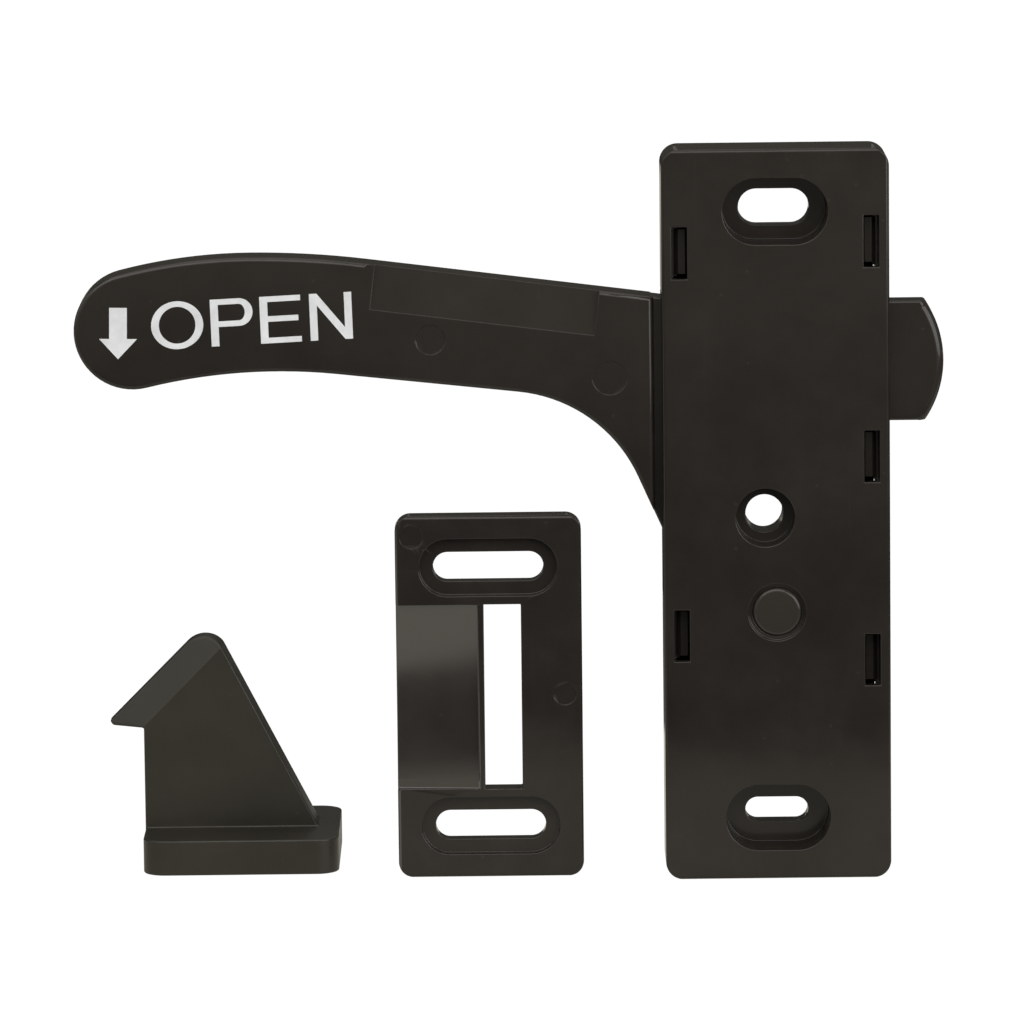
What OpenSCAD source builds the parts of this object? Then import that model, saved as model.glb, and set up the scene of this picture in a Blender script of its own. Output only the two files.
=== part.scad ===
// Screen door latch set: latch with a press-down handle, strike plate and finger pull
// Latch and strike are drawn flat, x to the bolt side, y up and z out of the door, then stood up

/* [Latch case] */
// Width of the case
case_width = 40; // [37:0.5:46]
// Height of the case
case_height = 130; // [126:1:140]
// Depth from the door face to the front
case_depth = 12.7; // [12.4:0.1:15]
// Corner radius seen from the front
case_corner = 3.2; // [2.6:0.1:5]
// Rounding along the front edge
case_edge = 0.6; // [0.4:0.1:1.6]
// Thickness of the front face
face_thick = 2.4; // [2:0.1:2.6]
// Thickness of the side walls
wall_thick = 2.2; // [1.8:0.1:2.4]
// Thickness of the snap-in back plate
back_thick = 2; // [1.6:0.1:2.2]
// Play around the back plate
back_play = 0.15; // [0.05:0.05:0.3]

/* [Screw slots] */
// Distance between the two door screws
slot_spacing = 108; // [100:0.5:110]
// Width of the upper slot
upper_slot_width = 6.4; // [5:0.1:7.5]
// Length of the upper slot
upper_slot_length = 12.5; // [9:0.1:14]
// Width of the lower slot
lower_slot_width = 4.4; // [4.2:0.1:7]
// Length of the lower slot
lower_slot_length = 11.2; // [9:0.1:14]
// Length of the recess for a screw head
recess_length = 18.5; // [17:0.1:20]
// Width of the recess for a screw head
recess_width = 11.7; // [10:0.1:13]
// Floor left under a screw head
recess_floor = 2.1; // [1.6:0.1:3]
// Wall around a recess
recess_wall = 1.4; // [1:0.1:2]

/* [Pull screw hole] */
// Sideways place of the hole
pull_hole_x = -2; // [-3:0.1:0]
// Height of the hole above the middle of the case
pull_hole_y = -0.2; // [-2:0.1:0]
// Diameter of the hole
pull_hole_d = 6.7; // [5:0.1:7]
// Diameter of the counterbore
pull_bore_d = 10.4; // [9:0.1:10.6]
// Depth of the counterbore
pull_bore_depth = 5.6; // [3:0.1:7]
// Wall around the counterbore
pull_boss_wall = 1.1; // [0.9:0.05:1.3]

/* [Snap hooks] */
// Inner side of the windows, from the middle
window_in = 15.5; // [15:0.1:15.6]
// Width of the windows
window_width = 2.7; // [2.4:0.1:3]
// Length of the windows
window_length = 9.2; // [8:0.1:10]
// Thickness of a hook
hook_thick = 1.3; // [1:0.1:1.4]
// Overlap of hook and ledge
hook_bite = 0.7; // [0.4:0.1:0.8]
// Height of the ledges above the door face
ledge_top = 8.6; // [8:0.1:9]

/* [Pivot and spring] */
// Height of the pivot, from the middle of the case
pivot_y = -17.1; // [-18:0.1:-16.5]
// Radius of the pivot pin
pin_r = 4.3; // [4:0.05:4.4]
// Radial clearance of the lever on the pin
pin_clear = 0.06; // [0.02:0.01:0.1]
// Radius of the ring around the pin end
pin_ring_r = 5.1; // [4.8:0.1:5.6]
// Depth of that ring
pin_ring_depth = 0.8; // [0.4:0.1:1.2]
// Radius of the pin's head
pin_head_r = 6.2; // [5.6:0.1:7]
// Wire of the return spring
wire_d = 1; // [0.8:0.05:1.05]
// Turns of the return spring
spring_turns = 3; // [2:1:3]

/* [Handle lever] */
// Travel from latched to open, in degrees
travel = 13; // [10:0.5:14]
// Distance from the pivot line to the centre of the rounded end
grip_reach = 113.1; // [105:0.2:125]
// Height of the rounded end
grip_y = 33.85; // [32:0.05:35]
// Radius of the rounded end
grip_end_r = 10.3; // [9.5:0.05:11.5]
// Highest point of the grip above the middle of the case
crown_y = 46.7; // [45.5:0.1:48]
// Slope of the arm's top edge, in degrees
top_slope = 7.3; // [6.5:0.05:8]
// Slope of the arm's lower edge, in degrees
under_slope = 6.25; // [5.5:0.05:7]
// Steepness of the web's lower edge, in degrees
web_angle = 66; // [62:0.5:70]
// Radius where the arm turns into the web
web_r = 26; // [20:0.5:30]
// Radius of the hub
hub_r = 12.4; // [12:0.1:13]
// Thickness of the grip
grip_thick = 9; // [7.5:0.1:9.4]
// Thickness of the bolt and of the plate inside the case
bolt_thick = 6; // [5.4:0.1:6.2]
// Throw of the bolt beyond the case
bolt_throw = 9.7; // [8:0.1:10]
// Height of the bolt
bolt_height = 21.2; // [20:0.2:23]
// Height of the bolt's middle
bolt_y = 27; // [26.5:0.1:28]
// Radius of the bolt's nose
nose_r = 18.8; // [14:0.2:24]
// Depth of the thumb scoop at the top edge
scoop_depth = 1.5; // [0.8:0.1:2]
// Height of the thumb scoop
scoop_height = 7.9; // [6:0.1:10]
// Length of the thumb scoop
scoop_length = 39.8; // [30:0.2:44]

/* [Strike plate] */
// Width of the strike
strike_width = 33; // [30:0.5:36]
// Height of the strike
strike_height = 65; // [63:0.5:70]
// Thickness of the strike
strike_thick = 4.6; // [4.2:0.1:6]
// Corner radius of the strike
strike_corner = 2.8; // [1.5:0.1:4]
// Distance between the strike's screws
strike_spacing = 46.5; // [45:0.1:48]
// Length of the strike's slots
strike_slot_length = 19.6; // [16:0.1:21]
// Width of the strike's slots
strike_slot_width = 5.2; // [4.4:0.1:5.6]
// Margin of the recess around a slot
strike_recess_margin = 2.5; // [2:0.1:2.8]
// Depth of that recess
strike_recess_depth = 1.6; // [1:0.1:2.4]
// Height of the ramp and of the bolt slot
keeper_height = 33.2; // [30:0.2:34]
// Width of the bolt slot
keeper_width = 6.6; // [6.4:0.1:7.6]
// Fall of the ramp from the bolt slot to the strike's edge
ramp_depth = 1.6; // [1:0.1:2]
// Place of the strike beside the latch
strike_x = -51; // [-60:0.5:-48]

/* [Finger pull] */
// Width of the base
base_width = 35; // [32:0.5:38]
// Depth of the base
base_depth = 33; // [30:0.5:36]
// Thickness of the base
base_thick = 6.3; // [5:0.1:7]
// Corner radius of the base
base_corner = 4; // [2.5:0.1:6]
// Thickness of the fin
fin_thick = 8; // [7:0.1:10]
// Height of the fin's rounded top
fin_height = 41; // [38:0.5:45]
// Radius of the fin's top
fin_top_r = 4; // [3:0.1:5]
// Slope of the lip, in degrees
lip_slope = 45; // [42:0.5:50]
// Overhang of the lip beyond the base
lip_reach = 6.2; // [5:0.1:8]
// Width of the bevels along the lip
lip_bevel = 4.8; // [3:0.1:6]
// Slope of the fin's back edge, in degrees
fin_slope = 62.8; // [60:0.2:66]
// Diameter of the blind screw hole
pull_thread_d = 4.2; // [3.6:0.1:4.8]
// Depth of the blind screw hole
pull_thread_depth = 19; // [14:0.5:22]
// Place of the pull beside the latch
pull_x = -95.8; // [-105:0.1:-94]

/* [Hidden] */
$fn = 64;
plastic = [0.16, 0.14, 0.13];
floor_z = -case_height / 2;
eps = 0.01;

// Case: inner faces, and the gaps that let the lever swing
inner_half = case_width / 2 - wall_thick;
face_back = case_depth - face_thick;
seat = back_thick + back_play;
swing_gap = 0.6;
left_windows = [46.8, -21.2];
right_windows = [48.6, 10.5, -25.8];
hook_play = 0.1;
hook_root = 0.5;
hook_land = 0.5;
hook_rise = 1.2;
ledge_thick = 1.5;
stem_out = inner_half - hook_bite - hook_play;
hook_length = window_length - 1.2;

// Lever: plate levels, then the arcs of its outline
face_clear = 0.9;
grip_set_back = 1.5;
plate_front = face_back - face_clear;
plate_back = plate_front - bolt_thick;
grip_front = case_depth - grip_set_back;
grip_back = grip_front - grip_thick;
shoulder_gap = 1.6;
shoulder_lap = 2;
shoulder_x = -case_width / 2 - shoulder_gap;
pivot = [0, pivot_y];
grip_c = [-grip_reach, grip_y];
crown_run = 20.6;
crown = [-grip_reach + crown_run, crown_y];
crown_r = 160;
crown_c = crown - [0, crown_r];
crown_end = crown_c + crown_r * [sin(top_slope), cos(top_slope)];
crown_rise = crown_y - grip_y;
nib_r = (pow(crown_run, 2) + pow(crown_rise, 2) - pow(grip_end_r, 2)) / (2 * (crown_rise - grip_end_r));
nib_c = crown - [0, nib_r];
nib_angle = atan2(grip_c[1] - nib_c[1], grip_c[0] - nib_c[0]);
hollow_from = [25.1, -106];
hollow_c = grip_c + hollow_from;
hollow_r = norm(hollow_c - grip_c) - grip_end_r;
hollow_angle = atan2(grip_c[1] - hollow_c[1], grip_c[0] - hollow_c[0]);
arm_low = hollow_c + hollow_r * [sin(under_slope), cos(under_slope)];
arm_n = [-sin(under_slope), -cos(under_slope)];
web_n = [-sin(web_angle), -cos(web_angle)];
arm_k = arm_low * arm_n + web_r;
web_k = pivot * web_n + hub_r + web_r;
web_det = arm_n[0] * web_n[1] - arm_n[1] * web_n[0];
web_c = [arm_k * web_n[1] - web_k * arm_n[1], arm_n[0] * web_k - web_n[0] * arm_k] / web_det;
neck_r = 4;
bolt_low = bolt_y - bolt_height / 2;
bolt_top = bolt_y + bolt_height / 2;
neck_c = [hub_r + neck_r, bolt_low - neck_r];
bolt_tip = case_width / 2 + bolt_throw;
nose_c = [bolt_tip - nose_r, bolt_y];
nose_half = asin(bolt_height / 2 / nose_r);
top_break = [crown_end[0] + (crown_end[1] - bolt_top) / tan(top_slope), bolt_top];

// Boss for the pull's screw, and the arc slot that it works in
boss_r = pull_bore_d / 2 + pull_boss_wall;
boss = [pull_hole_x, pull_hole_y];
boss_arm = norm(boss - pivot);
boss_angle = atan2(boss[1] - pivot[1], boss[0] - pivot[0]);
stop_play = 0.35;

// Gaps in the side walls, as far as the web and the bolt swing
open_web = web_angle - travel;
web_low = pivot_y + (inner_half * sin(open_web) - hub_r) / cos(open_web);
arm_top = crown_end[1] - (-case_width / 2 - crown_end[0]) * tan(top_slope);
handle_gap = [web_low - 2 * swing_gap, arm_top + swing_gap];
bolt_rise = 4.4;
bolt_gap = [bolt_low - swing_gap, bolt_top + bolt_rise];

// Spring: coil between the sleeve and the pocket of the hub
sleeve_wall = 0.9;
wire_play = 0.2;
sleeve_r = pin_r + sleeve_wall;
coil_r = sleeve_r + wire_play + wire_d / 2;
coil_pitch = wire_d + wire_play / 2;
coil_low = back_thick + wire_play + wire_d / 2;
coil_high = coil_low + spring_turns * coil_pitch;
coil_room = coil_high + wire_d / 2 + wire_play;
coil_swell = 2.6;
leg_grip = 1.9;
spring_pocket_r = coil_r + wire_d / 2 + coil_swell;
leg_end = spring_pocket_r + leg_grip;
leg_angle = 205;
fixed_leg = 11;
post_r = 1.5;
post_play = 0.05;

// Pin: a light press in the case, its head sunk in the back plate
pin_fit = 0.02;
pin_head_play = 0.1;
pin_sunk = 0.2;
pin_chamfer = 0.4;
land_wall = 3;
land_clear = 0.2;

// Small marks that the ejectors leave: x, y and diameter
lever_marks = [[-60.7, 31.9, 5.4], [-29.2, 24.8, 6.2]];
strike_marks = [[13.4, 0.5, 4.2], [-13.6, 28.8, 4.2]];
mark_depth = 0.15;
scoop_foot = 0.15;
scoop_start = 1.9;
open_space = 200;

// Points along an arc; an arc that starts where the last one ended leaves out its first point
function arc(c, r, from, to, n, first = 0) = [
  for (i = [first:n]) let (a = from + (to - from) * i / n) c + r * [cos(a), sin(a)]
];

lever_outline = concat(
  arc(grip_c, grip_end_r, nib_angle, hollow_angle + 180, 30, 1),
  arc(hollow_c, hollow_r, hollow_angle, 90 - under_slope, 14, 1),
  arc(web_c, web_r, 90 - under_slope, 90 - web_angle, 18),
  arc(pivot, hub_r, 270 - web_angle, 360, 26),
  arc(neck_c, neck_r, 180, 90, 8),
  arc(nose_c, nose_r, -nose_half, nose_half, 24),
  [top_break],
  arc(crown_c, crown_r, 90 - top_slope, 90, 8),
  arc(nib_c, nib_r, 90, nib_angle, 10, 1)
);

module stand_up() {
  rotate([90, 0, 0]) children();
}

module round_rect(w, h, r) {
  square([w - 2 * r, h], center = true);
  square([w, h - 2 * r], center = true);
  for (sx = [-1, 1], sy = [-1, 1])
    translate([sx * (w / 2 - r), sy * (h / 2 - r)]) circle(r = r);
}

module racetrack(l, w) {
  square([l - w, w], center = true);
  for (s = [-1, 1])
    translate([s * (l - w) / 2, 0]) circle(d = w);
}

// Outline of a block whose two front edges are rounded
module front_round(w, depth, r) {
  translate([-w / 2, 0]) square([w, depth - r]);
  translate([-w / 2 + r, 0]) square([w - 2 * r, depth]);
  for (s = [-1, 1])
    translate([s * (w / 2 - r), depth - r]) circle(r = r);
}

// Plate with a rounded front edge all round
module soft_plate(w, h, depth, corner, edge) {
  intersection() {
    linear_extrude(depth) round_rect(w, h, corner);
    rotate([90, 0, 0]) linear_extrude(h + 2, center = true) front_round(w, depth, edge);
    rotate([90, 0, 90]) linear_extrude(w + 2, center = true) front_round(h, depth, edge);
  }
}

module at_screws() {
  for (s = [-1, 1])
    translate([0, s * slot_spacing / 2, 0]) children();
}

module screw_slots(from, to) {
  translate([0, slot_spacing / 2, from])
    linear_extrude(to - from) racetrack(upper_slot_length, upper_slot_width);
  translate([0, -slot_spacing / 2, from])
    linear_extrude(to - from) racetrack(lower_slot_length, lower_slot_width);
}

// The five snap places, each drawn as on the right-hand wall
module at_snaps() {
  for (y = right_windows)
    translate([0, y, 0]) children();
  for (y = left_windows)
    translate([0, y, 0]) mirror([1, 0, 0]) children();
}

module wall_gap(side, span, depth, play) {
  x = side < 0 ? -case_width / 2 - eps : inner_half - eps;
  translate([x, span[0] + play, -eps])
    cube([wall_thick + 2 * eps, span[1] - span[0] - 2 * play, depth + eps]);
}

module front_housing() {
  color(plastic) stand_up()
    difference() {
      union() {
        difference() {
          soft_plate(case_width, case_height, case_depth, case_corner, case_edge);
          translate([0, 0, -1])
            linear_extrude(face_back + 1)
              round_rect(2 * inner_half, case_height - 2 * wall_thick, case_corner - wall_thick + 0.3);
          wall_gap(-1, handle_gap, plate_front + 0.5, 0);
          wall_gap(1, bolt_gap, plate_front + 0.5, 0);
        }
        at_screws()
          translate([0, 0, seat])
            linear_extrude(face_back - seat + 1)
              racetrack(recess_length + 2 * recess_wall, recess_width + 2 * recess_wall);
        translate([boss[0], boss[1], seat]) cylinder(r = boss_r, h = face_back - seat + 1);
        translate([0, pivot_y, plate_front + land_clear]) cylinder(r = pin_r + land_wall, h = face_clear);
        at_snaps()
          translate([inner_half - hook_bite, -window_length / 2, ledge_top - ledge_thick])
            cube([hook_bite + wall_thick / 2, window_length, ledge_thick]);
      }
      at_screws()
        translate([0, 0, seat + recess_floor])
          linear_extrude(case_depth) racetrack(recess_length, recess_width);
      screw_slots(-1, case_depth + 1);
      translate([boss[0], boss[1], -1]) cylinder(d = pull_hole_d, h = case_depth + 2);
      translate([boss[0], boss[1], case_depth - pull_bore_depth]) cylinder(d = pull_bore_d, h = case_depth);
      translate([0, pivot_y, 0]) cylinder(r = pin_r + pin_fit, h = case_depth + 1);
      translate([0, pivot_y, case_depth - pin_ring_depth]) cylinder(r = pin_ring_r, h = case_depth);
      at_snaps()
        translate([window_in, -window_length / 2, ledge_top])
          cube([window_width, window_length, case_depth]);
    }
}

// One hook: a stem with a nose that catches over the ledge
module snap_hook() {
  rotate([90, 0, 0])
    linear_extrude(hook_length, center = true)
      polygon([
        [stem_out - hook_thick, back_thick - hook_root],
        [stem_out, back_thick - hook_root],
        [stem_out, ledge_top],
        [stem_out + hook_bite, ledge_top],
        [stem_out + hook_bite, ledge_top + hook_land],
        [stem_out, ledge_top + hook_rise],
        [stem_out - hook_thick, ledge_top + hook_rise]
      ]);
}

module back_plate() {
  color(plastic) stand_up()
    difference() {
      union() {
        linear_extrude(back_thick)
          round_rect(2 * (inner_half - back_play), case_height - 2 * (wall_thick + back_play), case_corner - wall_thick);
        wall_gap(-1, handle_gap, back_thick, back_play);
        wall_gap(1, bolt_gap, back_thick, back_play);
        translate([-inner_half, handle_gap[0] + back_play, 0])
          cube([1, handle_gap[1] - handle_gap[0] - 2 * back_play, back_thick]);
        translate([inner_half - 1, bolt_gap[0] + back_play, 0])
          cube([1, bolt_gap[1] - bolt_gap[0] - 2 * back_play, back_thick]);
        at_snaps() snap_hook();
        translate([coil_r + wire_d / 2 + post_play + post_r, pivot_y - fixed_leg + post_r, 0])
          cylinder(r = post_r, h = coil_low + wire_d / 2);
      }
      screw_slots(-1, back_thick + 1);
      translate([boss[0], boss[1], -1]) cylinder(d = pull_hole_d, h = back_thick + 2);
      translate([0, pivot_y, -1]) cylinder(r = pin_r + pin_fit, h = back_thick + 2);
      translate([0, pivot_y, -1]) cylinder(r = pin_head_r + pin_head_play, h = 1 + back_thick / 2);
    }
}

module lever_slab(from, to) {
  translate([0, 0, from]) linear_extrude(to - from) polygon(lever_outline);
}

// Arc slot, about the pivot, that the boss works in and that stops the lever at both ends
module stop_slot() {
  half = boss_r + stop_play;
  shut = boss_angle;
  open = boss_angle - travel;
  translate([0, 0, plate_back - 1])
    linear_extrude(bolt_thick + 2)
      polygon(concat(
        arc(pivot, boss_arm + half, open, shut, 6, 1),
        arc(boss, half, shut, shut + 180, 18, 1),
        arc(pivot, boss_arm - half, shut, open, 6, 1),
        arc(pivot + boss_arm * [cos(open), sin(open)], half, open + 180, open + 360, 18, 1)
      ));
}

module handle_lever() {
  color(plastic) stand_up()
    difference() {
      union() {
        intersection() {
          lever_slab(grip_back, grip_front);
          translate([shoulder_x - open_space, -open_space / 2, 0]) cube([open_space, open_space, case_depth]);
        }
        intersection() {
          lever_slab(plate_back, plate_front);
          translate([shoulder_x - shoulder_lap, -open_space / 2, 0]) cube([open_space, open_space, case_depth]);
        }
        translate([0, pivot_y, seat]) cylinder(r = sleeve_r, h = plate_front - seat);
      }
      translate([0, pivot_y, 0])
        difference() {
          cylinder(r = spring_pocket_r, h = coil_room);
          cylinder(r = sleeve_r, h = case_depth);
        }
      translate([0, pivot_y, 0]) cylinder(r = pin_r + pin_clear, h = case_depth);
      stop_slot();
      translate([0, pivot_y, plate_back - 1])
        rotate(leg_angle)
          translate([coil_r, -wire_d / 2 - post_play, 0])
            cube([leg_end + 2 * wire_play - coil_r, wire_d + 4 * wire_play, coil_room - plate_back + 1]);
      translate([crown_end[0], crown_end[1], grip_front])
        rotate(-top_slope)
          translate([scoop_start, 0, 0])
            rotate([90, 0, 90])
              linear_extrude(scoop_length)
                polygon([[1, -scoop_depth], [1, 1], [-scoop_height, 1], [-scoop_height, -scoop_foot]]);
      for (mark = lever_marks)
        translate([mark[0], mark[1], grip_front - mark_depth]) cylinder(d = mark[2], h = 1);
    }
}

module pivot_pin() {
  color(plastic) stand_up()
    translate([0, pivot_y, 0])
      rotate_extrude()
        polygon([
          [0, pin_sunk],
          [pin_head_r, pin_sunk],
          [pin_head_r, back_thick / 2],
          [pin_r, back_thick / 2],
          [pin_r, case_depth - pin_sunk - pin_chamfer],
          [pin_r - pin_chamfer, case_depth - pin_sunk],
          [0, case_depth - pin_sunk]
        ]);
}

// Wire path: fixed leg on the back plate, coil, then the leg that turns with the lever
coil_steps = 24 * spring_turns;
coil_end = leg_angle + 360 * (spring_turns - 1);
wire_path = concat(
  [[coil_r, -fixed_leg, coil_low], [coil_r, -fixed_leg / 2, coil_low]],
  [for (i = [0:coil_steps]) let (a = coil_end * i / coil_steps)
    [coil_r * cos(a), coil_r * sin(a), coil_low + coil_pitch * a / 360]],
  [for (r = [coil_r + 1, leg_end])
    [r * cos(coil_end), r * sin(coil_end), coil_low + coil_pitch * coil_end / 360]]
);

function unit(v) = v / norm(v);
function heading(p, i) = unit(p[min(i + 1, len(p) - 1)] - p[max(i - 1, 0)]);

module return_spring() {
  sides = 8;
  count = len(wire_path);
  rings = [for (i = [0:count - 1])
    let (t = heading(wire_path, i), u = unit(cross(t, [0, 0, 1])), v = cross(u, t))
    for (k = [0:sides - 1])
      wire_path[i] + wire_d / 2 * (u * cos(360 * k / sides) + v * sin(360 * k / sides))];
  skin = [for (i = [0:count - 2], k = [0:sides - 1])
    [i * sides + k, i * sides + (k + 1) % sides, (i + 1) * sides + (k + 1) % sides, (i + 1) * sides + k]];
  caps = [[for (k = [0:sides - 1]) sides - 1 - k], [for (k = [0:sides - 1]) (count - 1) * sides + k]];
  color([0.75, 0.76, 0.78]) stand_up()
    translate([0, pivot_y, 0])
      polyhedron(points = rings, faces = concat(skin, caps), convexity = 8);
}

// Strike: edge rounding, place of the bolt slot, and the hollow of the ramp
strike_ahead = 3.5;
strike_edge = 0.6;
keeper_x = 2.4;
ramp_lap = 1.4;
ramp_hollow_r = 160;
ramp_sink = 1.2;

// Ramp: a shallow hollow that runs out at the left edge and rises to the lip of the bolt slot
module ramp_cut() {
  run = strike_width / 2 - keeper_width / 2 + ramp_lap;
  rise = atan(ramp_depth / run);
  intersection() {
    translate([-strike_width / 2 - 1, -keeper_height / 2, -1]) cube([run + 1, keeper_height, strike_thick + 5]);
    translate([-strike_width / 2 + run, 0, strike_thick])
      rotate([0, -rise, 0])
        translate([-run - 5, 0, ramp_hollow_r - ramp_sink])
          rotate([0, 90, 0]) cylinder(r = ramp_hollow_r, h = run + 8, $fn = 360);
  }
}

module strike_plate() {
  color(plastic)
    translate([strike_x, -strike_ahead, floor_z + strike_height / 2]) stand_up()
      difference() {
        soft_plate(strike_width, strike_height, strike_thick, strike_corner, strike_edge);
        for (s = [-1, 1])
          translate([0, s * strike_spacing / 2, 0]) {
            translate([0, 0, -1]) linear_extrude(strike_thick + 2) racetrack(strike_slot_length, strike_slot_width);
            translate([0, 0, strike_thick - strike_recess_depth])
              linear_extrude(strike_thick)
                racetrack(strike_slot_length + 2 * strike_recess_margin, strike_slot_width + 2 * strike_recess_margin);
          }
        translate([keeper_x, 0, strike_thick / 2])
          cube([keeper_width, keeper_height, strike_thick + 2], center = true);
        ramp_cut();
        for (mark = strike_marks)
          translate([mark[0], mark[1], strike_thick - mark_depth]) cylinder(d = mark[2], h = 1);
      }
}

// Side view of the fin, x from the middle of the base and height above the door
lip_x = -base_width / 2 - lip_reach;
fin_top_x = -6.6;
fin_sink = 0.5;
lip_nose = [0.6, -0.7];
lip_under = 0.9;
bevel_depth = 3.6;
bevel_over = 2;
pull_ahead = 4.2;
top_c = [fin_top_x, fin_height - fin_top_r];
lip_high = top_c + fin_top_r * [-sin(lip_slope), cos(lip_slope)];
lip_h = lip_high[1] - (lip_high[0] - lip_x) * tan(lip_slope);
back_high = top_c + fin_top_r * [sin(fin_slope), cos(fin_slope)];
back_low = [back_high[0] + (back_high[1] - base_thick + fin_sink) / tan(fin_slope), base_thick - fin_sink];

module finger_pull() {
  half = fin_thick / 2;
  color(plastic)
    translate([pull_x, base_depth / 2 - pull_ahead, floor_z])
      difference() {
        union() {
          linear_extrude(base_thick) round_rect(base_width, base_depth, base_corner);
          difference() {
            rotate([90, 0, 0])
              linear_extrude(fin_thick, center = true)
                polygon(concat(
                  [[-base_width / 2, base_thick - fin_sink], back_low],
                  arc(top_c, fin_top_r, 90 - fin_slope, 90 + lip_slope, 14),
                  [[lip_x, lip_h], [lip_x, lip_h] + lip_nose, [-base_width / 2, lip_h - lip_under]]
                ));
            for (s = [0, 1])
              mirror([0, s, 0])
                translate([lip_x, 0, lip_h])
                  rotate([0, 90 - lip_slope, 0])
                    linear_extrude(open_space, center = true)
                      polygon([
                        [-bevel_over, half - bevel_depth],
                        [lip_bevel, half],
                        [lip_bevel, half + 1],
                        [-bevel_over, half + 1]
                      ]);
          }
        }
        translate([0, 0, -1]) cylinder(d = pull_thread_d, h = pull_thread_depth + 1);
      }
}

front_housing();
back_plate();
handle_lever();
pivot_pin();
return_spring();
strike_plate();
finger_pull();
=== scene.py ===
from math import cos, pi, radians, sin

import bmesh
import bpy
from mathutils import Matrix, Vector


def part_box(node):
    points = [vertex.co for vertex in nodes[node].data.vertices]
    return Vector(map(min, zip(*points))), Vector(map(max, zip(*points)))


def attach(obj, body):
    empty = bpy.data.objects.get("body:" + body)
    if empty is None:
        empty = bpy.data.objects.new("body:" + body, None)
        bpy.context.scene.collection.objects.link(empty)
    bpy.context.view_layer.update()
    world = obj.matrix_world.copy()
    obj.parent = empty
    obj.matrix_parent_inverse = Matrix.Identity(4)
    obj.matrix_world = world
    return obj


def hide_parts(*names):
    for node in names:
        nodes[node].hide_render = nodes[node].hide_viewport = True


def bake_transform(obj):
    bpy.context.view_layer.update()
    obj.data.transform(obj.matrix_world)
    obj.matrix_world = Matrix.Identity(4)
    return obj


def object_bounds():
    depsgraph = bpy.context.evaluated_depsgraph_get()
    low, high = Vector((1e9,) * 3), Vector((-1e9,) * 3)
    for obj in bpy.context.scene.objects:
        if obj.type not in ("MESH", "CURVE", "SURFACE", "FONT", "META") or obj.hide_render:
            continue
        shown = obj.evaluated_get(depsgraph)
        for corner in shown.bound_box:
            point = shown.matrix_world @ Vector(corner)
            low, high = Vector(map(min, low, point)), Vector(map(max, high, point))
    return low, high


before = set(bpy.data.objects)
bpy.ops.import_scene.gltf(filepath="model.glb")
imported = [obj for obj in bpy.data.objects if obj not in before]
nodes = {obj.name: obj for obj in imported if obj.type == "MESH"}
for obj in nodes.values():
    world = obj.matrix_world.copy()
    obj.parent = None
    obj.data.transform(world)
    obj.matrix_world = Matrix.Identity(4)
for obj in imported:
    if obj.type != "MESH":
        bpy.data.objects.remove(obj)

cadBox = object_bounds()
mm = 0.001
print("latch set: frame loaded,", len(nodes), "solids")


# camera, as the set stands in the photograph
shot = {
    "target": (-0.04701, -0.0127, 0.0017),
    "distance": 1.3,
    "elevation": 8.5,
    "roll": -0.64,
    "focalPixels": 7379.0,
    "imagePixels": 1020,
    "sensor": 36.0,
}


def placeCamera():
    data = bpy.data.cameras.new("shotCamera")
    data.sensor_fit = "HORIZONTAL"
    data.sensor_width = shot["sensor"]
    data.lens = shot["sensor"] * shot["focalPixels"] / shot["imagePixels"]
    data.clip_start = 0.01
    data.clip_end = 20
    obj = bpy.data.objects.new("shotCamera", data)
    bpy.context.scene.collection.objects.link(obj)
    rise = radians(shot["elevation"])
    lean = radians(shot["roll"])
    ahead = Vector((0, cos(rise), -sin(rise)))
    side = Vector((1, 0, 0))
    up = Vector((0, sin(rise), cos(rise)))
    side, up = side * cos(lean) + up * sin(lean), up * cos(lean) - side * sin(lean)
    spot = Vector(shot["target"]) - ahead * shot["distance"]
    turn = Matrix((side, up, -ahead)).transposed().to_4x4()
    obj.matrix_world = Matrix.Translation(spot) @ turn
    bpy.context.scene.camera = obj


placeCamera()
print("camera placed")


# node helpers
def addNode(tree, kind, place, **settings):
    node = tree.nodes.new(kind)
    node.location = place
    for key, value in settings.items():
        setattr(node, key, value)
    return node


def join(tree, start, end):
    tree.links.new(start, end)


def newGroup(name, inputs, outputs):
    tree = bpy.data.node_groups.new(name, "ShaderNodeTree")
    for label, value in inputs:
        socket = tree.interface.new_socket(label, in_out="INPUT", socket_type="NodeSocketFloat")
        socket.default_value = value
    for label in outputs:
        tree.interface.new_socket(label, in_out="OUTPUT", socket_type="NodeSocketFloat")
    start = addNode(tree, "NodeGroupInput", (-900, 0))
    end = addNode(tree, "NodeGroupOutput", (700, 0))
    return tree, start, end


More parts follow.
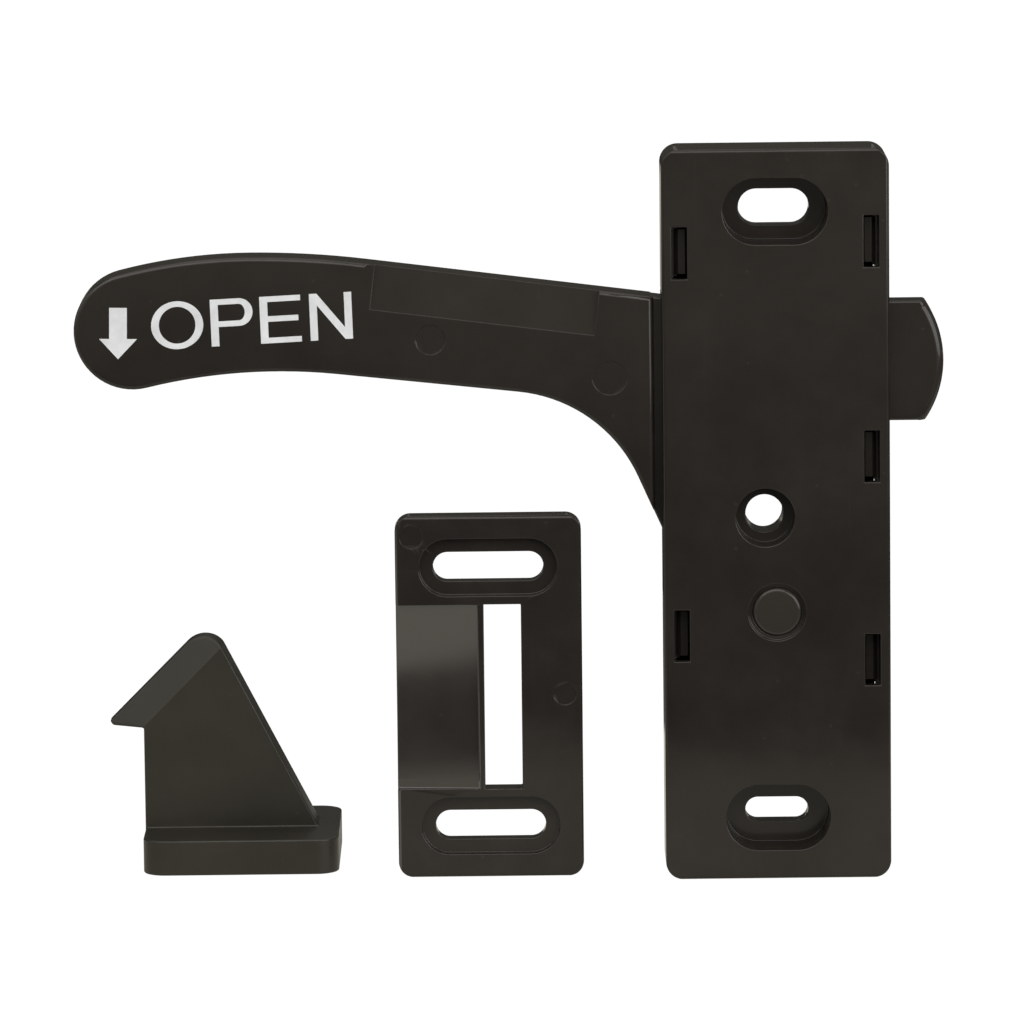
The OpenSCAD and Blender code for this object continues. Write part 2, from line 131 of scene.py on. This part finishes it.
def buildMouldSkin():
    # spark-eroded grain, cloudy flow and sink marks of an injection moulding
    tree, start, end = newGroup(
        "mouldSkin",
        [("Grain Scale", 2600.0), ("Cloud Scale", 55.0), ("Sink Scale", 24.0)],
        ["Grain", "Cloud", "Sink", "Speck"],
    )
    coord = addNode(tree, "ShaderNodeTexCoord", (-900, -260))
    layers = (("Grain", 3.0, 0.55), ("Cloud", 6.0, 0.62), ("Sink", 2.0, 0.45))
    for row, (label, detail, rough) in enumerate(layers):
        noise = addNode(tree, "ShaderNodeTexNoise", (-500, 260 - 240 * row))
        noise.inputs["Detail"].default_value = detail
        noise.inputs["Roughness"].default_value = rough
        join(tree, coord.outputs["Object"], noise.inputs["Vector"])
        join(tree, start.outputs[label + " Scale"], noise.inputs["Scale"])
        spread = addNode(tree, "ShaderNodeMapRange", (-200, 260 - 240 * row))
        spread.inputs["From Min"].default_value = 0.3
        spread.inputs["From Max"].default_value = 0.7
        join(tree, noise.outputs["Fac"], spread.inputs["Value"])
        join(tree, spread.outputs["Result"], end.inputs[label])
    dots = addNode(tree, "ShaderNodeTexVoronoi", (-500, -520))
    dots.inputs["Scale"].default_value = 420.0
    join(tree, coord.outputs["Object"], dots.inputs["Vector"])
    thin = addNode(tree, "ShaderNodeMapRange", (-200, -520))
    thin.inputs["From Min"].default_value = 0.16
    thin.inputs["From Max"].default_value = 0.06
    join(tree, dots.outputs["Distance"], thin.inputs["Value"])
    few = addNode(tree, "ShaderNodeMath", (60, -620), operation="GREATER_THAN")
    few.inputs[1].default_value = 0.9
    apart = addNode(tree, "ShaderNodeSeparateColor", (-200, -760))
    join(tree, dots.outputs["Color"], apart.inputs["Color"])
    join(tree, apart.outputs["Red"], few.inputs[0])
    keep = addNode(tree, "ShaderNodeMath", (280, -540), operation="MULTIPLY")
    join(tree, thin.outputs["Result"], keep.inputs[0])
    join(tree, few.outputs["Value"], keep.inputs[1])
    join(tree, keep.outputs["Value"], end.inputs["Speck"])
    return tree


def buildEdgeRub():
    # worn, polished edges: the mask comes from the rounded faces
    tree, start, end = newGroup("edgeRub", [("Patch Scale", 160.0)], ["Rub"])
    mask = addNode(tree, "ShaderNodeAttribute", (-500, 200), attribute_name="edgeMask")
    coord = addNode(tree, "ShaderNodeTexCoord", (-700, -100))
    noise = addNode(tree, "ShaderNodeTexNoise", (-500, -100))
    noise.inputs["Detail"].default_value = 5.0
    join(tree, coord.outputs["Object"], noise.inputs["Vector"])
    join(tree, start.outputs["Patch Scale"], noise.inputs["Scale"])
    spread = addNode(tree, "ShaderNodeMapRange", (-250, -100))
    spread.inputs["From Min"].default_value = 0.32
    spread.inputs["From Max"].default_value = 0.68
    spread.inputs["To Min"].default_value = 0.25
    join(tree, noise.outputs["Fac"], spread.inputs["Value"])
    both = addNode(tree, "ShaderNodeMath", (100, 100), operation="MULTIPLY")
    join(tree, mask.outputs["Fac"], both.inputs[0])
    join(tree, spread.outputs["Result"], both.inputs[1])
    join(tree, both.outputs["Value"], end.inputs["Rub"])
    return tree


def buildHairScuffs():
    # fine handling scratches along the height and across it
    tree, start, end = newGroup("hairScuffs", [("Density", 0.66)], ["Scuff"])
    coord = addNode(tree, "ShaderNodeTexCoord", (-1100, -100))
    parts = []
    for row, stretch in enumerate(((900.0, 900.0, 26.0), (30.0, 700.0, 1100.0))):
        turn = addNode(tree, "ShaderNodeMapping", (-860, 160 - 300 * row))
        turn.inputs["Scale"].default_value = stretch
        turn.inputs["Rotation"].default_value = (0.0, 0.18 - 0.5 * row, 0.0)
        noise = addNode(tree, "ShaderNodeTexNoise", (-600, 160 - 300 * row))
        noise.inputs["Scale"].default_value = 1.0
        noise.inputs["Detail"].default_value = 2.0
        join(tree, coord.outputs["Object"], turn.inputs["Vector"])
        join(tree, turn.outputs["Vector"], noise.inputs["Vector"])
        parts.append(noise)
    top = addNode(tree, "ShaderNodeMath", (-350, 0), operation="MAXIMUM")
    join(tree, parts[0].outputs["Fac"], top.inputs[0])
    join(tree, parts[1].outputs["Fac"], top.inputs[1])
    cut = addNode(tree, "ShaderNodeMapRange", (-80, 0))
    cut.inputs["From Max"].default_value = 0.86
    join(tree, top.outputs["Value"], cut.inputs["Value"])
    join(tree, start.outputs["Density"], cut.inputs["From Min"])
    join(tree, cut.outputs["Result"], end.inputs["Scuff"])
    return tree


mouldSkin = buildMouldSkin()
edgeRub = buildEdgeRub()
hairScuffs = buildHairScuffs()


def placeGroup(tree, group, place, **values):
    node = addNode(tree, "ShaderNodeGroup", place)
    node.node_tree = group
    for key, value in values.items():
        node.inputs[key].default_value = value
    return node


def blendColour(tree, place, factor, low, high):
    node = addNode(tree, "ShaderNodeMix", place, data_type="RGBA")
    join(tree, factor, node.inputs[0])
    for socket, value in ((node.inputs[6], low), (node.inputs[7], high)):
        if isinstance(value, tuple):
            socket.default_value = (*value, 1.0)
        else:
            join(tree, value, socket)
    return node.outputs[2]


def spanValue(tree, place, value, low, high):
    node = addNode(tree, "ShaderNodeMapRange", place)
    node.inputs["To Min"].default_value = low
    node.inputs["To Max"].default_value = high
    join(tree, value, node.inputs["Value"])
    return node.outputs["Result"]


def sumValues(tree, place, first, second, operation="ADD"):
    node = addNode(tree, "ShaderNodeMath", place, operation=operation)
    join(tree, first, node.inputs[0])
    join(tree, second, node.inputs[1])
    return node.outputs["Value"]


def mouldedPlastic(name, look):
    material = bpy.data.materials.new(name)
    material.use_nodes = True
    tree = material.node_tree
    shader = tree.nodes["Principled BSDF"]
    scales = {"Grain Scale": look["grainScale"], "Cloud Scale": look["cloudScale"]}
    skin = placeGroup(tree, mouldSkin, (-1200, 200), **scales)
    rub = placeGroup(tree, edgeRub, (-1200, -60))
    scuff = placeGroup(tree, hairScuffs, (-1200, -260), Density=look["scuffDensity"])
    tone = blendColour(tree, (-900, 260), skin.outputs["Cloud"], look["dark"], look["light"])
    tone = blendColour(tree, (-700, 260), skin.outputs["Speck"], tone, look["speck"])
    scratch = spanValue(tree, (-900, 0), scuff.outputs["Scuff"], 0.0, look["scuffTone"])
    tone = blendColour(tree, (-500, 260), scratch, tone, look["worn"])
    worn = spanValue(tree, (-900, -220), rub.outputs["Rub"], 0.0, look["edgeTone"])
    tone = blendColour(tree, (-300, 260), worn, tone, look["worn"])
    join(tree, tone, shader.inputs["Base Color"])
    finish = spanValue(tree, (-700, -60), skin.outputs["Cloud"], look["rough"][0], look["rough"][1])
    smooth = spanValue(tree, (-700, -300), rub.outputs["Rub"], 0.0, -look["edgePolish"])
    finish = sumValues(tree, (-480, -120), finish, smooth)
    join(tree, finish, shader.inputs["Roughness"])
    grain = spanValue(tree, (-700, -520), skin.outputs["Grain"], 0.0, look["grainDepth"])
    sink = spanValue(tree, (-700, -760), skin.outputs["Sink"], 0.0, look["sinkDepth"])
    groove = spanValue(tree, (-700, -1000), scuff.outputs["Scuff"], 0.0, -look["scuffDepth"])
    height = sumValues(tree, (-480, -620), grain, sink)
    height = sumValues(tree, (-300, -620), height, groove)
    bump = addNode(tree, "ShaderNodeBump", (-120, -500))
    bump.inputs["Distance"].default_value = 1.0
    bump.inputs["Strength"].default_value = 1.0
    join(tree, height, bump.inputs["Height"])
    join(tree, bump.outputs["Normal"], shader.inputs["Normal"])
    shader.inputs["IOR"].default_value = look["ior"]
    shader.inputs["Specular IOR Level"].default_value = look["specular"]
    return material


satin = {
    "dark": (0.0145, 0.0117, 0.0098),
    "light": (0.0225, 0.0184, 0.0154),
    "speck": (0.027, 0.0235, 0.0205),
    "worn": (0.075, 0.069, 0.062),
    "rough": (0.10, 0.17),
    "grainScale": 2600.0,
    "cloudScale": 55.0,
    "grainDepth": 0.0000008,
    "sinkDepth": 0.00003,
    "scuffDensity": 0.70,
    "scuffTone": 0.10,
    "scuffDepth": 0.000002,
    "edgeTone": 0.12,
    "edgePolish": 0.04,
    "ior": 1.5,
    "specular": 0.34,
}

caseFinish = mouldedPlastic("caseSatin", satin)
leverFinish = mouldedPlastic("leverSatin", {**satin, "cloudScale": 40.0, "edgeTone": 0.18})
pinFinish = mouldedPlastic("pinSatin", {
    **satin, "dark": (0.026, 0.0232, 0.018), "light": (0.034, 0.0302, 0.0235),
})
strikeFinish = mouldedPlastic("strikeSatin", {**satin, "cloudScale": 70.0})
rampFinish = mouldedPlastic("rampGloss", {
    **satin, "rough": (0.06, 0.11), "grainDepth": 0.0000004, "specular": 1.0, "ior": 1.6,
})
pullFinish = mouldedPlastic("pullMatt", {
    **satin, "dark": (0.0158, 0.0138, 0.0090), "light": (0.0238, 0.0207, 0.0140),
    "rough": (0.34, 0.46), "grainDepth": 0.000004, "edgeTone": 0.2, "edgePolish": 0.12,
})


def printInk(name):
    # screen print: pale grey, a little thin over the grain
    material = bpy.data.materials.new(name)
    material.use_nodes = True
    tree = material.node_tree
    shader = tree.nodes["Principled BSDF"]
    skin = placeGroup(tree, mouldSkin, (-900, 100), **{"Grain Scale": 3200.0, "Cloud Scale": 320.0})
    tone = blendColour(tree, (-500, 160), skin.outputs["Cloud"], (0.58, 0.585, 0.58), (0.72, 0.725, 0.72))
    join(tree, tone, shader.inputs["Base Color"])
    join(tree, spanValue(tree, (-500, -80), skin.outputs["Grain"], 0.5, 0.7), shader.inputs["Roughness"])
    bump = addNode(tree, "ShaderNodeBump", (-250, -260))
    join(tree, spanValue(tree, (-500, -300), skin.outputs["Grain"], 0.0, 0.000006), bump.inputs["Height"])
    bump.inputs["Distance"].default_value = 1.0
    join(tree, bump.outputs["Normal"], shader.inputs["Normal"])
    return material


def springSteel(name):
    # drawn wire: a fine grain and a slightly uneven sheen
    material = bpy.data.materials.new(name)
    material.use_nodes = True
    tree = material.node_tree
    shader = tree.nodes["Principled BSDF"]
    skin = placeGroup(tree, mouldSkin, (-900, 100), **{"Grain Scale": 4200.0, "Cloud Scale": 300.0})
    tone = blendColour(tree, (-500, 160), skin.outputs["Cloud"], (0.42, 0.42, 0.43), (0.58, 0.58, 0.60))
    join(tree, tone, shader.inputs["Base Color"])
    join(tree, spanValue(tree, (-500, -80), skin.outputs["Grain"], 0.22, 0.36), shader.inputs["Roughness"])
    shader.inputs["Metallic"].default_value = 1.0
    return material


inkFinish = printInk("legendInk")
steelFinish = springSteel("springSteel")
print("finishes made:", len(bpy.data.materials))


# pieces from the solids: merged, edges rounded as the mould leaves them
sharpFrom = 38  # degrees; edges that bend more are shaded sharp
sortAlong = Vector((0.8123, 0.4337, 0.3901))  # slanted, so that hardly any two elements tie


def settleOrder(bm):
    # the operators can leave their results in another order on each run, which moves a few normals
    bm.verts.sort(key=lambda vert: vert.co.dot(sortAlong))
    bm.edges.sort(key=lambda edge: (edge.verts[0].co + edge.verts[1].co).dot(sortAlong))
    bm.faces.sort(key=lambda face: face.calc_center_median().dot(sortAlong))


def finishObject(bm, name, body, materials):
    settleOrder(bm)
    mesh = bpy.data.meshes.new(name)
    bm.to_mesh(mesh)
    bm.free()
    for material in materials:
        mesh.materials.append(material)
    obj = bpy.data.objects.new(name, mesh)
    bpy.context.scene.collection.objects.link(obj)
    mesh.shade_smooth()
    mesh.set_sharp_from_angle(angle=radians(sharpFrom))
    evener = obj.modifiers.new("evenNormals", "WEIGHTED_NORMAL")  # flat faces stay flat beside rounded edges
    evener.keep_sharp = True
    evener.weight = 100
    if body:
        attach(obj, body)
    return obj


def mergedCopy(nodeName):
    bm = bmesh.new()
    bm.from_mesh(nodes[nodeName].data)
    bmesh.ops.remove_doubles(bm, verts=bm.verts, dist=0.002 * mm)
    return bm


def roundEdges(bm, width, segments, chosen):
    mask = bm.faces.layers.float.get("edgeMask") or bm.faces.layers.float.new("edgeMask")
    edges = [
        edge for edge in bm.edges
        if edge.is_manifold and chosen(edge) and not any(face[mask] for face in edge.link_faces)
    ]
    if not edges:
        return
    made = bmesh.ops.bevel(
        bm, geom=edges, offset=width * mm, offset_type="OFFSET", affect="EDGES",
        segments=segments, profile=0.5, material=-1, clamp_overlap=False, loop_slide=False,
    )
    for face in made["faces"]:
        face[mask] = 1.0


def inBox(point, box):
    return all(low * mm <= value <= high * mm for value, low, high in zip(point, *box))


def sharperThan(degrees, shallow=()):
    # edges that bend more than this, apart from those of marks too shallow to be rounded
    limit = radians(degrees)

    def chosen(edge):
        if edge.calc_face_angle(0.0) <= limit:
            return False
        middle = (edge.verts[0].co + edge.verts[1].co) / 2
        return not any(inBox(middle, box) for box in shallow)

    return chosen


def inside(edge, box):
    return all(inBox(vert.co, box) for vert in edge.verts)


polish = {"share": 0.49, "facing": (0.7, 0.997), "lean": 0.08, "area": 1e-7}


def polishRamp(bm):
    # the tilted faces left of the bolt slot take the second, polished finish
    low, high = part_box("strike_plate")
    end = low[0] + polish["share"] * (high[0] - low[0])
    least, most = polish["facing"]
    for face in bm.faces:
        tilted = least < -face.normal.y < most and abs(face.normal.x) > polish["lean"]
        if tilted and face.calc_center_median().x < end and face.calc_area() > polish["area"]:
            face.material_index = 1


# widths are in mm and angles in degrees, boxes hold the edges or marks that they name
dressed = [
    {"node": "front_housing", "piece": "caseShell", "body": "latch_set", "slot": "case_plastic",
     "finish": caseFinish, "round": 0.18, "segments": 3, "angle": 40},
    {"node": "back_plate", "piece": "caseBack", "body": "latch_set", "slot": "case_plastic",
     "finish": caseFinish, "round": 0.12, "segments": 3, "angle": 40},
    {"node": "handle_lever", "piece": "handleLever", "body": "lever", "slot": "lever_plastic",
     "finish": leverFinish, "round": 0.4, "segments": 3, "angle": 40, "fine": (0.06, 40),
     "softer": [(1.3, 40, ((21, -9.5, 10), (40, -9.3, 45))),
                (0.7, 40, ((-130, -11.25, -60), (-21.4, -11.15, 60)))],
     "shallow": [((-64, -12, 28.6), (-57.4, -10, 35.2)), ((-32.6, -12, 21.4), (-25.8, -10, 28.2)),
                 ((-71.6, -12, 30), (-30, -9.6, 46))]},
    {"node": "pivot_pin", "piece": "pivotPin", "body": "latch_set", "slot": "pin_plastic",
     "finish": pinFinish, "round": 0.22, "segments": 3, "angle": 25},
    {"node": "strike_plate", "piece": "strikePlate", "body": "latch_set", "slot": "strike_plastic",
     "finish": strikeFinish, "extra": [rampFinish],
     "round": 0.18, "segments": 3, "angle": 40, "fine": (0.06, 40),
     "shallow": [((-40.2, -9, -35), (-35, -4, -29)), ((-67.2, -9, -6.4), (-62, -4, -1)),
                 ((-60, -9, -50), (-51, -4, -48)), ((-60, -9, -17), (-51, -4, -15))]},
    {"node": "finger_pull", "piece": "fingerPull", "body": "latch_set", "slot": "pull_plastic",
     "finish": pullFinish, "round": 0.3, "segments": 3, "angle": 35, "fine": (0.15, 22)},
]

for plan in dressed:
    bm = mergedCopy(plan["node"])
    shallow = plan.get("shallow", ())
    for width, degrees, box in plan.get("softer", ()):  # edges that are rounded more than the rest
        sharp = sharperThan(degrees, shallow)
        roundEdges(bm, width, 4, lambda edge: sharp(edge) and edge.is_convex and inside(edge, box))
    roundEdges(bm, plan["round"], plan["segments"], sharperThan(plan["angle"], shallow))
    if "fine" in plan:
        width, degrees = plan["fine"]  # what the wider rounding left out
        roundEdges(bm, width, 2, sharperThan(degrees))
    if plan["node"] == "strike_plate":
        polishRamp(bm)
    finishes = [plan["finish"]] + plan.get("extra", [])
    piece = finishObject(bm, plan["piece"], plan["body"], finishes)
    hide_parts(plan["node"])
    print("dressed", plan["piece"], len(piece.data.polygons), "faces")


springWire = {"diameter": 1.0, "smoothing": 1}


def dressSpring():
    # on the latch its fixed leg stays with the case and the other leg turns with the lever; here the wire is
    # merged, smoothed and baked in place, tied to neither
    bm = mergedCopy("return_spring")
    bm.faces.layers.float.new("edgeMask")
    piece = finishObject(bm, "returnSpring", None, [steelFinish])
    rounder = piece.modifiers.new("roundWire", "SUBSURF")
    rounder.levels = springWire["smoothing"]
    rounder.render_levels = springWire["smoothing"]
    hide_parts("return_spring")
    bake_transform(piece)


dressSpring()
print("spring dressed")


# printed legend on the grip: a down arrow and the word for what it does
legend = {
    "origin": (-109.6, 30.6),
    "turn": 2.7,
    "lean": 1.7,
    "face": 11.2,
    "film": 0.03,
    "sunk": 0.01,
    "height": 8.3,
    "stem": 1.38,
    "bar": 0.99,
    "ring": {"half": 4.6, "over": 0.1},
    "loop": {"left": 10.5, "right": 17.95, "bowl": 2.45},
    "comb": {"left": 19.2, "right": 26.4, "raise": 0.15, "short": 0.45},
    "zigzag": {"left": 27.95, "right": 35.4, "thin": 0.05, "thick": 2.1},
    "arrow": {"tip": (-115.63, 29.05), "turn": -1.0, "shaftHalf": 1.56, "top": 9.1, "neck": 3.6, "headHalf": 3.34},
}


def addBar(bm, x0, y0, x1, y1, drop=0.0):
    # a bar between two corners; drop slants it downwards from left to right
    middle = Matrix.Translation(((x0 + x1) / 2, (y0 + y1) / 2, 0))
    halves = Matrix.Diagonal(((x1 - x0) / 2, (y1 - y0) / 2, 1, 1))
    slant = Matrix.Identity(4)
    slant[1][0] = -drop / (y1 - y0)
    made = bmesh.ops.create_grid(bm, x_segments=1, y_segments=1, size=1.0, matrix=middle @ halves @ slant)
    return made["verts"]


def addBow(bm, centre, outer, inner, start, sweep):
    # two points spun round, then the outer and inner rows drawn to their own half axes
    rows = [bm.verts.new((r * cos(start), r * sin(start), 0)) for r in (2.0, 1.0)]
    edge = bm.edges.new(rows)
    full = abs(sweep) > 2 * pi - 0.01
    known = set(bm.verts) - set(rows)
    bmesh.ops.spin(bm, geom=rows + [edge], cent=(0, 0, 0), axis=(0, 0, 1), dvec=(0, 0, 0),
                   angle=sweep, steps=40, use_merge=full, use_duplicate=False)
    fresh = [v for v in bm.verts if v not in known]
    far = [v for v in fresh if v.co.length > 1.5]
    near = [v for v in fresh if v.co.length <= 1.5]
    bmesh.ops.scale(bm, verts=far, vec=(outer[0] / 2, outer[1] / 2, 1))
    bmesh.ops.scale(bm, verts=near, vec=(*inner, 1))
    bmesh.ops.translate(bm, verts=fresh, vec=(*centre, 0))


def addHead(bm, half, height):
    # arrow head with its tip at the origin, pointing down
    place = Matrix.Diagonal((half / sin(pi / 3), -height / 1.5, 1, 1)) @ Matrix.Translation((0, -1, 0))
    return bmesh.ops.create_circle(bm, cap_ends=True, segments=3, radius=1.0, matrix=place)["verts"]


def setWord(bm):
    tall, stem, bar = legend["height"], legend["stem"], legend["bar"]
    # O
    half, rise = legend["ring"]["half"], tall / 2 + legend["ring"]["over"]
    addBow(bm, (half, tall / 2), (half, rise), (half - stem, rise - bar), 0, 2 * pi)
    # P
    left, right, bowl = (legend["loop"][key] for key in ("left", "right", "bowl"))
    addBar(bm, left, 0, left + stem, tall)
    addBar(bm, left + stem, tall - bar, right - bowl, tall)
    addBar(bm, left + stem, tall - 2 * bowl, right - bowl, tall - 2 * bowl + bar)
    addBow(bm, (right - bowl, tall - bowl), (bowl, bowl), (bowl - stem, bowl - bar), -pi / 2, pi)
    # E
    comb = legend["comb"]
    tooth = comb["left"] + stem
    addBar(bm, comb["left"], 0, tooth, tall)
    for low, short in ((0, 0), (tall / 2 - bar / 2 + comb["raise"], comb["short"]), (tall - bar, 0)):
        addBar(bm, tooth, low, comb["right"] - short, low + bar)
    # N
    zigzag = legend["zigzag"]
    thick = zigzag["thick"]
    left, right = zigzag["left"] + stem - zigzag["thin"], zigzag["right"] - stem + zigzag["thin"]
    addBar(bm, zigzag["left"], 0, left, tall)
    addBar(bm, right, 0, zigzag["right"], tall)
    addBar(bm, left, tall / 2 - thick / 2, right, tall / 2 + thick / 2, drop=tall - thick)
    # the line climbs a little more than the stems lean
    climb = radians(legend["turn"])
    setting = Matrix.Rotation(radians(legend["lean"]), 4, "Z")
    setting[0][0], setting[1][0] = cos(climb), sin(climb)
    bmesh.ops.transform(bm, matrix=Matrix.Translation((*legend["origin"], 0)) @ setting, verts=bm.verts)


def setArrow(bm):
    arrow = legend["arrow"]
    parts = addBar(bm, -arrow["shaftHalf"], arrow["neck"], arrow["shaftHalf"], arrow["top"])
    parts += addHead(bm, arrow["headHalf"], arrow["neck"])
    setting = Matrix.Translation((*arrow["tip"], 0)) @ Matrix.Rotation(radians(arrow["turn"]), 4, "Z")
    bmesh.ops.transform(bm, matrix=setting, verts=parts)


def printLegend():
    bm = bmesh.new()
    setWord(bm)
    setArrow(bm)
    bmesh.ops.remove_doubles(bm, verts=bm.verts, dist=0.001)
    bmesh.ops.recalc_face_normals(bm, faces=bm.faces)
    for face in bm.faces:
        if face.normal.z < 0:
            face.normal_flip()
    raised = bmesh.ops.extrude_face_region(bm, geom=bm.faces[:])
    tops = [part for part in raised["geom"] if isinstance(part, bmesh.types.BMVert)]
    bmesh.ops.translate(bm, verts=tops, vec=(0, 0, legend["film"] + legend["sunk"]))
    bmesh.ops.recalc_face_normals(bm, faces=bm.faces)
    upright = Matrix.Rotation(radians(90), 4, "X")
    lie = Matrix.Translation((0, 0, legend["face"] - legend["sunk"]))
    bmesh.ops.transform(bm, matrix=Matrix.Scale(mm, 4) @ upright @ lie, verts=bm.verts)
    bm.faces.layers.float.new("edgeMask")
    finishObject(bm, "gripLegend", "lever", [inkFinish])


printLegend()
print("legend printed")


# floor and studio light
studio = {
    "floorHalf": 2.5,
    "floorGlow": 1.0,
    "floorBounce": 0.3,
    "floorTone": (0.03, 0.035),
    "floorMirror": [(0.00, 0.62), (0.125, 0.62), (0.138, 0.03), (0.50, 0.05),
                    (0.86, 0.30), (1.19, 0.62), (1.225, 0.0)],
    "floorDrop": 0.0002,
    "paperRough": 0.9,
    "paperSheen": 0.1,
    "paperScale": 3.0,
    "mirrorReach": 2.0,
    "mirrorLean": 0.3,
    "mirrorTint": (1.0, 0.95, 0.80),
    "worldSeen": 1.0,
    "worldDiffuse": 0.56,
    "worldGloss": {"front": 0.45, "back": 0.055},
    "worldTurn": (-0.7, 0.5),
    "aim": (-0.047, 0.0, 0.0),
    "top": {"at": (-0.05, 0.16, 0.80), "size": (0.9, 0.6), "watts": 1.4},
    "key": {"at": (-0.30, -0.90, 1.00), "size": (1.6, 1.2), "watts": 12.0},
    "left": {"at": (-0.95, -0.20, 0.40), "size": (0.3, 0.7), "watts": 1.0},
    "right": {"at": (0.55, -0.62, 0.20), "size": (0.85, 0.52), "watts": 3.8},
    "back": {"at": (0.25, 0.95, 0.75), "size": (1.2, 0.9), "watts": 0.8},
}


def byRay(tree, place, camera, diffuse, gloss):
    # brightness for each kind of ray, so the stage stays white without washing out the plastic
    path = addNode(tree, "ShaderNodeLightPath", place)
    parts = []
    kinds = (("Is Camera Ray", camera), ("Is Diffuse Ray", diffuse), ("Is Glossy Ray", gloss))
    for row, (kind, value) in enumerate(kinds):
        part = addNode(tree, "ShaderNodeMath", (place[0] + 220, place[1] - 180 * row), operation="MULTIPLY")
        join(tree, path.outputs[kind], part.inputs[0])
        if isinstance(value, float):
            part.inputs[1].default_value = value
        else:
            join(tree, value, part.inputs[1])
        parts.append(part.outputs["Value"])
    total = sumValues(tree, (place[0] + 440, place[1]), parts[0], parts[1])
    return sumValues(tree, (place[0] + 640, place[1]), total, parts[2])


def mirrorTint(tree, place):
    # white to the eye, a little warm in the plastic
    path = addNode(tree, "ShaderNodeLightPath", place)
    glossy = path.outputs["Is Glossy Ray"]
    return blendColour(tree, (place[0] + 220, place[1]), glossy, (1.0, 1.0, 1.0), studio["mirrorTint"])


def floorMirror(tree, place):
    # what the flat faces mirror: pale paper close by, a dark gap, then paper again further out
    coord = addNode(tree, "ShaderNodeTexCoord", place)
    apart = addNode(tree, "ShaderNodeSeparateXYZ", (place[0] + 180, place[1]))
    join(tree, coord.outputs["Object"], apart.inputs["Vector"])
    away = addNode(tree, "ShaderNodeMath", (place[0] + 360, place[1]), operation="ABSOLUTE")
    join(tree, apart.outputs["Y"], away.inputs[0])
    leant = addNode(tree, "ShaderNodeMath", (place[0] + 450, place[1]), operation="MULTIPLY_ADD")
    leant.inputs[1].default_value = studio["mirrorLean"]
    join(tree, apart.outputs["X"], leant.inputs[0])
    join(tree, away.outputs["Value"], leant.inputs[2])
    share = addNode(tree, "ShaderNodeMath", (place[0] + 500, place[1]), operation="DIVIDE")
    share.inputs[1].default_value = studio["mirrorReach"]
    join(tree, leant.outputs["Value"], share.inputs[0])
    ramp = addNode(tree, "ShaderNodeValToRGB", (place[0] + 540, place[1]))
    stops = ramp.color_ramp.elements
    while len(stops) < len(studio["floorMirror"]):
        stops.new(1.0)
    for stop, (distance, value) in zip(stops, studio["floorMirror"]):
        stop.position = distance / studio["mirrorReach"]
        stop.color = (value, value, value, 1.0)
    join(tree, share.outputs["Value"], ramp.inputs["Fac"])
    return ramp.outputs["Color"]


def paperFinish(name):
    material = bpy.data.materials.new(name)
    material.use_nodes = True
    tree = material.node_tree
    shader = tree.nodes["Principled BSDF"]
    noise = addNode(tree, "ShaderNodeTexNoise", (-600, 0))
    noise.inputs["Scale"].default_value = studio["paperScale"]
    dark, light = ((value,) * 3 for value in studio["floorTone"])
    tone = blendColour(tree, (-300, 100), noise.outputs["Fac"], dark, light)
    join(tree, tone, shader.inputs["Base Color"])
    shader.inputs["Roughness"].default_value = studio["paperRough"]
    shader.inputs["Specular IOR Level"].default_value = studio["paperSheen"]
    mirror = floorMirror(tree, (-1900, -600))
    glow = byRay(tree, (-1000, -300), studio["floorGlow"], studio["floorBounce"], mirror)
    join(tree, glow, shader.inputs["Emission Strength"])
    join(tree, mirrorTint(tree, (-500, -900)), shader.inputs["Emission Color"])
    return material


def buildStage():
    floorLevel = cadBox[0][2]
    bm = bmesh.new()
    bmesh.ops.create_grid(bm, x_segments=1, y_segments=1, size=studio["floorHalf"])
    bmesh.ops.translate(bm, verts=bm.verts, vec=(0, 0, floorLevel - studio["floorDrop"]))
    mesh = bpy.data.meshes.new("paperFloor")
    bm.to_mesh(mesh)
    bm.free()
    mesh.materials.append(paperFinish("paperFloor"))
    obj = bpy.data.objects.new("paperFloor", mesh)
    bpy.context.scene.collection.objects.link(obj)


def hangLight(name):
    plan = studio[name]
    data = bpy.data.lights.new(name + "Softbox", "AREA")
    data.shape = "RECTANGLE"
    data.size, data.size_y = plan["size"]
    data.energy = plan["watts"]
    obj = bpy.data.objects.new(name + "Softbox", data)
    bpy.context.scene.collection.objects.link(obj)
    spot = Vector(plan["at"])
    aim = Vector(studio["aim"]) - spot
    obj.matrix_world = Matrix.Translation(spot) @ aim.to_track_quat("-Z", "Y").to_matrix().to_4x4()


def lightWorld():
    world = bpy.data.worlds.new("studioWorld")
    bpy.context.scene.world = world
    world.use_nodes = True
    back = world.node_tree.nodes["Background"]
    tree = world.node_tree
    coord = addNode(tree, "ShaderNodeTexCoord", (-1700, -400))
    apart = addNode(tree, "ShaderNodeSeparateXYZ", (-1500, -400))
    join(tree, coord.outputs["Generated"], apart.inputs["Vector"])
    turned = addNode(tree, "ShaderNodeMapRange", (-1300, -400))  # from the camera's side round to the back
    turned.inputs["From Min"].default_value, turned.inputs["From Max"].default_value = studio["worldTurn"]
    turned.inputs["To Min"].default_value = studio["worldGloss"]["front"]
    turned.inputs["To Max"].default_value = studio["worldGloss"]["back"]
    join(tree, apart.outputs["Y"], turned.inputs["Value"])
    strength = byRay(tree, (-1000, -200), studio["worldSeen"], studio["worldDiffuse"], turned.outputs["Result"])
    join(tree, strength, back.inputs["Strength"])
    join(tree, mirrorTint(tree, (-400, 200)), back.inputs["Color"])


buildStage()
for name in ("top", "key", "left", "right", "back"):
    hangLight(name)
lightWorld()
bpy.context.scene.view_settings.view_transform = "Standard"
print("stage and lights set")
